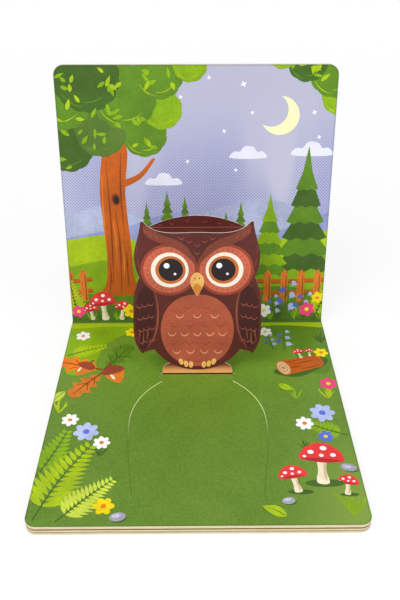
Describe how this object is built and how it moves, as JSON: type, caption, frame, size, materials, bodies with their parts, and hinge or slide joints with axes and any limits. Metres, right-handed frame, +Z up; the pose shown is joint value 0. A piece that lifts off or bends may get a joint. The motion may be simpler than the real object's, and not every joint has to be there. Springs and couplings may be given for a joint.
{
  "type": "pop-up board book",
  "caption": "Square children's board book standing open on one spread, with a folded card strip that lifts a die-cut owl between the pages.",
  "frame": {"origin": "middle of the back cover's underside, on the surface that the book stands on", "axes": "+Z up, +X along the spine to the reader's right, +Y away from the reader, through the fold to the upright half"},
  "size_m": [0.18, 0.2094, 0.1841],
  "materials": {
    "page_board": "coated board, satin print, pale cut edges",
    "spine_wrap": "coated paper wrap, satin",
    "back_board": "coated board, satin print, pale cut edges",
    "front_board": "coated board, satin print, pale cut edges",
    "strip_card": "coated card, satin print",
    "owl_card": "coated card, satin print"
  },
  "bodies": {
    "back_cover": {"back_cover": "back_board"},
    "page_block": {"pages": "page_board", "spine": "spine_wrap", "popup_strip": "strip_card", "owl_figure": "owl_card"},
    "front_cover": {"front_cover": "front_board"}
  },
  "joints": [
    {"name": "back_cover_hinge", "type": "hinge", "parent": "back_cover", "child": "page_block", "pos_m": [0, 0.0904, 0.0015], "axis": [-1, 0, 0], "range_deg": [0, 60]},
    {"name": "front_cover_hinge", "type": "hinge", "parent": "page_block", "child": "front_cover", "pos_m": [0, 0.09202, 0.0053], "axis": [-1, 0, 0], "range_deg": [0, 82]}
  ]
}
